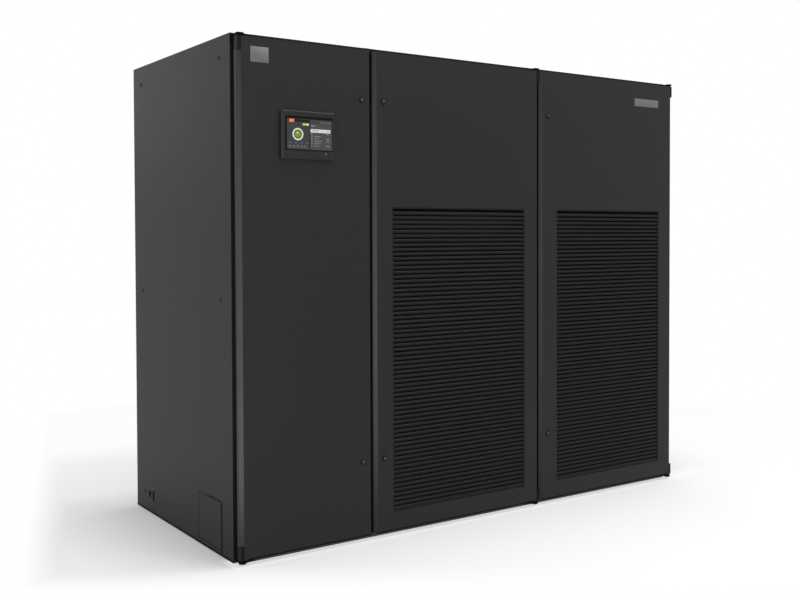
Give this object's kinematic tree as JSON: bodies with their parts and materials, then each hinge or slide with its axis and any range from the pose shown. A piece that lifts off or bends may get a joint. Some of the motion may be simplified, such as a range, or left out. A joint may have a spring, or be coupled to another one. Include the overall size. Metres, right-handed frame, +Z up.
{
  "type": "precision air conditioner",
  "caption": "Floor-standing three-bay room cooling cabinet with flush dark doors, louvred return grilles, a small touch display and top air discharge.",
  "frame": {"origin": "middle of the footprint's bounding box, on the floor", "axes": "+Z up; the doors face -Y; +X to the right of somebody who stands in front of the doors"},
  "size_m": [2.4, 1.085, 1.99],
  "materials": {
    "casing": "fine-textured charcoal powder coat",
    "frame_steel": "grey powder coat",
    "zinc_sheet": "galvanised sheet",
    "stainless": "stainless sheet",
    "black_casting": "black die casting",
    "lock_zinc": "dark plated zinc",
    "bezel_plastic": "matt black moulding",
    "display_glass": "black touch glass",
    "foam": "dark closed-cell foam",
    "rubber": "black sponge rubber",
    "filter_card": "pale card",
    "filter_paper": "white pleated fibre",
    "fin_aluminium": "thin fins",
    "wheel_aluminium": "plain sheet",
    "motor_paint": "dark paint",
    "compressor_paint": "gloss black paint",
    "copper": "bare copper tube",
    "bar_steel": "zinc-plated bar",
    "switchgear": "dark grey moulding",
    "terminal_plastic": "pale grey moulding",
    "controller_plastic": "graphite moulding",
    "handle_red": "red moulding"
  },
  "bodies": {
    "cabinet": {"left_side_panel": "casing", "right_side_panel": "casing", "side_access_hatch": "casing", "rear_panels": "casing", "gland_plate": "casing", "top_entry_panel": "casing", "top_duct_panels": "casing", "base_rails": "frame_steel", "top_rails": "frame_steel", "front_posts": "frame_steel", "rear_posts": "frame_steel", "floor_pans": "zinc_sheet", "bay_partition": "zinc_sheet", "fan_deck": "zinc_sheet", "inlet_rings": "zinc_sheet", "fan_brackets": "zinc_sheet", "filter_rails": "zinc_sheet", "mounting_plate": "zinc_sheet", "coil_end_plates": "zinc_sheet", "compressor_feet": "zinc_sheet", "condensate_pan": "stainless", "hinge_brackets": "black_casting", "panel_insulation": "foam", "filter_frames": "filter_card", "filter_media": "filter_paper", "coil_fin_packs": "fin_aluminium", "fan_motors": "motor_paint", "compressors": "compressor_paint", "refrigerant_pipes": "copper", "din_rails": "bar_steel", "contactors": "switchgear", "isolator_body": "switchgear", "terminal_blocks": "terminal_plastic", "controller_unit": "controller_plastic"},
    "door_1": {"door_1_panel": "casing", "door_1_liner": "foam", "door_1_gasket": "rubber", "door_1_fittings": "black_casting", "display_bezel": "bezel_plastic", "display_glass": "display_glass"},
    "door_1_upper_lock": {"door_1_upper_lock": "lock_zinc"},
    "door_1_lower_lock": {"door_1_lower_lock": "lock_zinc"},
    "door_2": {"door_2_panel": "casing", "door_2_liner": "foam", "door_2_gasket": "rubber", "door_2_fittings": "black_casting", "door_2_grille": "casing"},
    "door_2_upper_lock": {"door_2_upper_lock": "lock_zinc"},
    "door_2_lower_lock": {"door_2_lower_lock": "lock_zinc"},
    "door_3": {"door_3_panel": "casing", "door_3_liner": "foam", "door_3_gasket": "rubber", "door_3_fittings": "black_casting", "door_3_grille": "casing"},
    "door_3_upper_lock": {"door_3_upper_lock": "lock_zinc"},
    "door_3_lower_lock": {"door_3_lower_lock": "lock_zinc"},
    "fan_left": {"fan_impeller_left": "wheel_aluminium"},
    "fan_right": {"fan_impeller_right": "wheel_aluminium"},
    "isolator": {"isolator_handle": "handle_red"}
  },
  "joints": [
    {"name": "door_1_swing", "type": "hinge", "parent": "cabinet", "child": "door_1", "pos_m": [-1.179, -0.5135, 0.998], "axis": [0, 0, -1], "range_deg": [0, 110]},
    {"name": "door_1_upper_lock_turn", "type": "hinge", "parent": "door_1", "child": "door_1_upper_lock", "pos_m": [-0.652, -0.5275, 1.776], "axis": [0, 1, 0], "range_deg": [0, 90]},
    {"name": "door_1_lower_lock_turn", "type": "hinge", "parent": "door_1", "child": "door_1_lower_lock", "pos_m": [-0.652, -0.5275, 0.326], "axis": [0, 1, 0], "range_deg": [0, 90]},
    {"name": "door_2_swing", "type": "hinge", "parent": "cabinet", "child": "door_2", "pos_m": [0.282, -0.5135, 0.998], "axis": [0, 0, 1], "range_deg": [0, 110]},
    {"name": "door_2_upper_lock_turn", "type": "hinge", "parent": "door_2", "child": "door_2_upper_lock", "pos_m": [-0.548, -0.5275, 1.776], "axis": [0, -1, 0], "range_deg": [0, 90]},
    {"name": "door_2_lower_lock_turn", "type": "hinge", "parent": "door_2", "child": "door_2_lower_lock", "pos_m": [-0.548, -0.5275, 0.326], "axis": [0, -1, 0], "range_deg": [0, 90]},
    {"name": "door_3_swing", "type": "hinge", "parent": "cabinet", "child": "door_3", "pos_m": [1.179, -0.5135, 0.998], "axis": [0, 0, 1], "range_deg": [0, 110]},
    {"name": "door_3_upper_lock_turn", "type": "hinge", "parent": "door_3", "child": "door_3_upper_lock", "pos_m": [0.352, -0.5275, 1.776], "axis": [0, -1, 0], "range_deg": [0, 90]},
    {"name": "door_3_lower_lock_turn", "type": "hinge", "parent": "door_3", "child": "door_3_lower_lock", "pos_m": [0.352, -0.5275, 0.326], "axis": [0, -1, 0], "range_deg": [0, 90]},
    {"name": "fan_left_spin", "type": "hinge", "parent": "cabinet", "child": "fan_left", "pos_m": [-0.15, 0.0175, 1.642], "axis": [0, 0, 1], "continuous": true},
    {"name": "fan_right_spin", "type": "hinge", "parent": "cabinet", "child": "fan_right", "pos_m": [0.75, 0.0175, 1.642], "axis": [0, 0, 1], "continuous": true},
    {"name": "isolator_turn", "type": "hinge", "parent": "cabinet", "child": "isolator", "pos_m": [-0.691, -0.38, 1.65], "axis": [0, 1, 0], "range_deg": [0, 90]}
  ]
}
